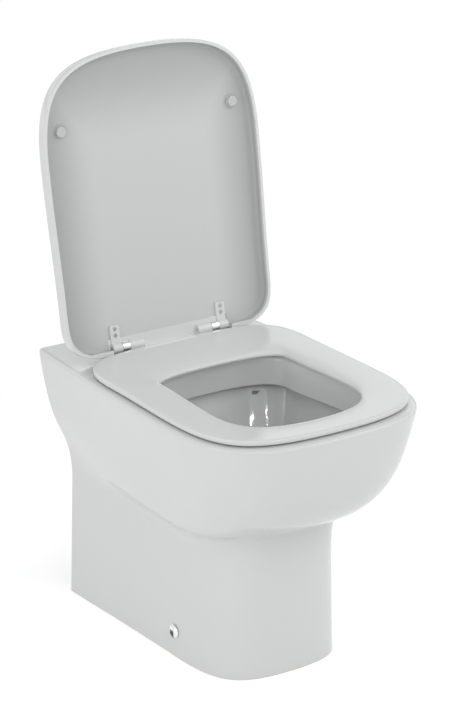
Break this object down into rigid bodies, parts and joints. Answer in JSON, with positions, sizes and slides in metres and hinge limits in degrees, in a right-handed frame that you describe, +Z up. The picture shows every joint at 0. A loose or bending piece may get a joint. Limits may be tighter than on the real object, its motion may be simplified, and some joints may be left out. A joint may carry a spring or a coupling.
{
  "type": "floor-standing toilet",
  "caption": "White back-to-wall floor-standing toilet: tapered ceramic pan on a narrower skirt, slow-closing seat ring down, wrap-over lid standing open.",
  "frame": {"origin": "middle of the footprint, on the floor", "axes": "+X to the right seen from the front, +Y back to the wall, +Z up"},
  "size_m": [0.365, 0.53, 0.8412],
  "materials": {
    "ceramic": "white vitreous glaze, high gloss over a slightly uneven cast body",
    "seat_plastic": "moulded white duroplast, gloss",
    "bumper_rubber": "soft milky white, satin",
    "seal_rubber": "black, matt",
    "chrome": "bright polished",
    "steel": "fine brushed",
    "fixing_plastic": "pale grey, matt moulded",
    "nut_plastic": "white, matt moulded",
    "damper_plastic": "dark grey, matt moulded"
  },
  "bodies": {
    "root": {"pan": "ceramic", "inlet_seal": "seal_rubber", "floor_bracket_left": "fixing_plastic", "floor_bracket_right": "fixing_plastic", "fixing_sleeve_left": "fixing_plastic", "fixing_sleeve_right": "fixing_plastic", "fixing_screws": "steel", "fixing_cap_left": "chrome", "fixing_cap_right": "chrome", "hinge_post_left": "chrome", "hinge_post_right": "chrome", "hinge_gasket_left": "seal_rubber", "hinge_gasket_right": "seal_rubber", "hinge_pin_left": "steel", "hinge_pin_right": "steel", "hinge_studs": "steel", "hinge_cone_washers": "seal_rubber", "hinge_wing_nuts": "nut_plastic"},
    "seat": {"seat_ring": "seat_plastic", "seat_knuckle_left": "seat_plastic", "seat_knuckle_right": "seat_plastic", "seat_damper": "damper_plastic", "seat_screws": "steel", "seat_bumper_front_left": "bumper_rubber", "seat_bumper_front_right": "bumper_rubber", "seat_bumper_rear_left": "bumper_rubber", "seat_bumper_rear_right": "bumper_rubber"},
    "lid": {"lid_shell": "seat_plastic", "lid_bumper_left": "bumper_rubber", "lid_bumper_right": "bumper_rubber", "lid_knuckle_left": "seat_plastic", "lid_knuckle_right": "seat_plastic", "lid_damper": "damper_plastic", "lid_screws": "steel"}
  },
  "joints": [
    {"name": "seat_hinge", "type": "hinge", "parent": "root", "child": "seat", "pos_m": [0, 0.17, 0.414], "axis": [-1, 0, 0], "range_deg": [0, 97]},
    {"name": "lid_hinge", "type": "hinge", "parent": "root", "child": "lid", "pos_m": [0, 0.17, 0.414], "axis": [1, 0, 0], "range_deg": [0, 99.6]}
  ]
}
